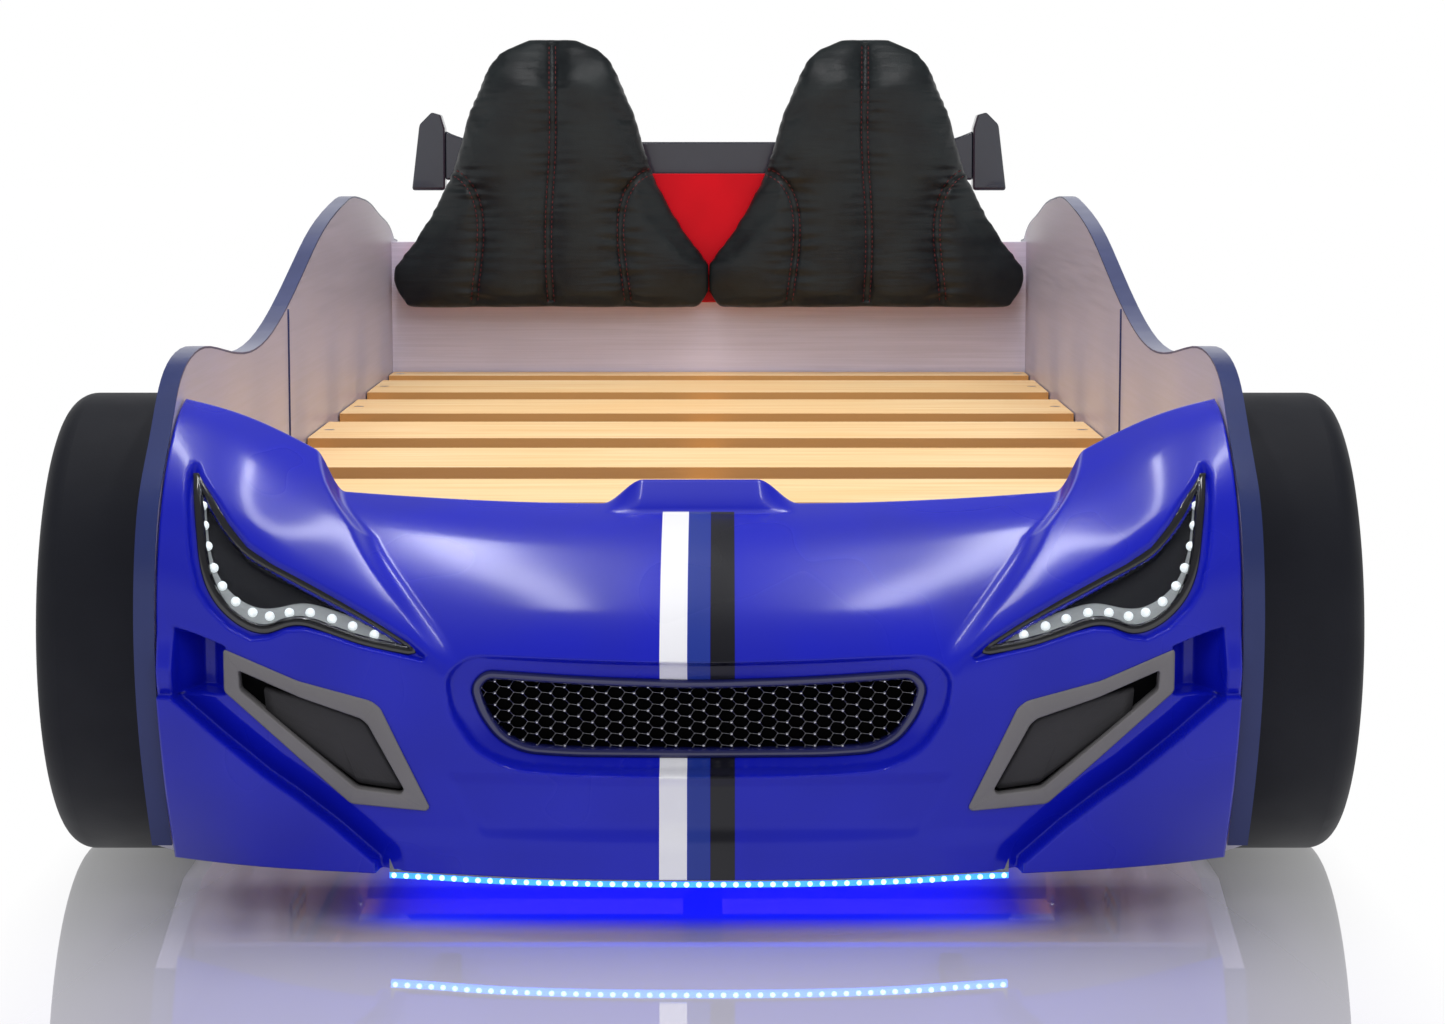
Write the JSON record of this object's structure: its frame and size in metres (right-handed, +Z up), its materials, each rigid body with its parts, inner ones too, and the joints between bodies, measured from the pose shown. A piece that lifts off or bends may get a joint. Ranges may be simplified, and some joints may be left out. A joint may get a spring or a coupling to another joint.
{
  "type": "car bed for children",
  "caption": "Racing-car shaped single bed for a child: slatted mattress bay between contoured side boards, moulded bumper with lamps, wheels, seat cushions and rear wing.",
  "frame": {"origin": "on the floor, at the centre of the bed's bounding box", "axes": "+X across the bed to the right seen from the bumper, +Y from the bumper to the headboard, +Z up"},
  "size_m": [1.202, 2.23, 0.811],
  "materials": {
    "laminate_board": "pale lilac-grey laminate, satin",
    "end_board": "pale lilac-grey laminate, satin",
    "blue_edging": "blue edging, satin",
    "zinc_steel": "zinc plated",
    "pine": "planed pine",
    "pine_frame": "planed pine",
    "nylon_glide": "matte black nylon",
    "blue_shell": "high gloss royal blue",
    "grille_black": "gloss black",
    "lamp_black": "gloss black",
    "lamp_clear": "clear moulded plastic",
    "lamp_light": "translucent white",
    "bezel_grey": "satin grey",
    "insert_black": "grained black",
    "channel_metal": "extruded aluminium",
    "strip_light": "lit blue strip",
    "wheel_black": "matte black moulding",
    "rim_grey": "satin silver",
    "seat_cover": "black imitation leather, red stitching",
    "red_board": "red laminate",
    "wing_black": "gloss anthracite",
    "bracket_black": "black powder coat",
    "box_black": "matte black",
    "switch_red": "gloss red"
  },
  "bodies": {
    "bed": {"bumper_ribs": "pine_frame", "bumper_shell": "blue_shell", "centre_beam": "pine_frame", "centre_legs": "pine_frame", "control_box": "box_black", "control_box_cover": "box_black", "corner_angles": "zinc_steel", "edge_bands": "blue_edging", "floor_glides": "nylon_glide", "footboard": "end_board", "frame_screws": "zinc_steel", "grille_frame": "grille_black", "grille_mesh": "grille_black", "headboard": "end_board", "headboard_screws": "zinc_steel", "headlight_housing_left": "lamp_black", "headlight_housing_right": "lamp_black", "headlight_led_guides": "lamp_light", "headlight_lens_left": "lamp_clear", "headlight_lens_right": "lamp_clear", "hub_caps": "rim_grey", "intake_bezel_left": "bezel_grey", "intake_bezel_right": "bezel_grey", "intake_inserts": "insert_black", "junction_box": "box_black", "light_cable": "box_black", "panel_joint_plates": "zinc_steel", "power_inlet": "box_black", "rocker_pin": "zinc_steel", "seat_back_board": "red_board", "seat_pad_left": "seat_cover", "seat_pad_right": "seat_cover", "side_panel_front_left": "laminate_board", "side_panel_front_right": "laminate_board", "side_panel_rear_left": "laminate_board", "side_panel_rear_right": "laminate_board", "slat_1": "pine", "slat_2": "pine", "slat_3": "pine", "slat_4": "pine", "slat_5": "pine", "slat_6": "pine", "slat_7": "pine", "slat_rails": "pine", "slat_screws": "zinc_steel", "tyre_front_left": "wheel_black", "tyre_front_right": "wheel_black", "tyre_rear_left": "wheel_black", "tyre_rear_right": "wheel_black", "underglow_channel": "channel_metal", "underglow_strip": "strip_light", "wheel_bolts": "zinc_steel", "wheel_rim_front_left": "rim_grey", "wheel_rim_front_right": "rim_grey", "wheel_rim_rear_left": "rim_grey", "wheel_rim_rear_right": "rim_grey", "wing_blade": "wing_black", "wing_brackets": "bracket_black", "wing_end_plates": "wing_black"},
    "switch": {"rocker_switch": "switch_red"}
  },
  "joints": [
    {"name": "rocker_tilt", "type": "hinge", "parent": "bed", "child": "switch", "pos_m": [-0.216, 1.071, 0.265], "axis": [1, 0, 0], "range_deg": [0, 16]}
  ]
}
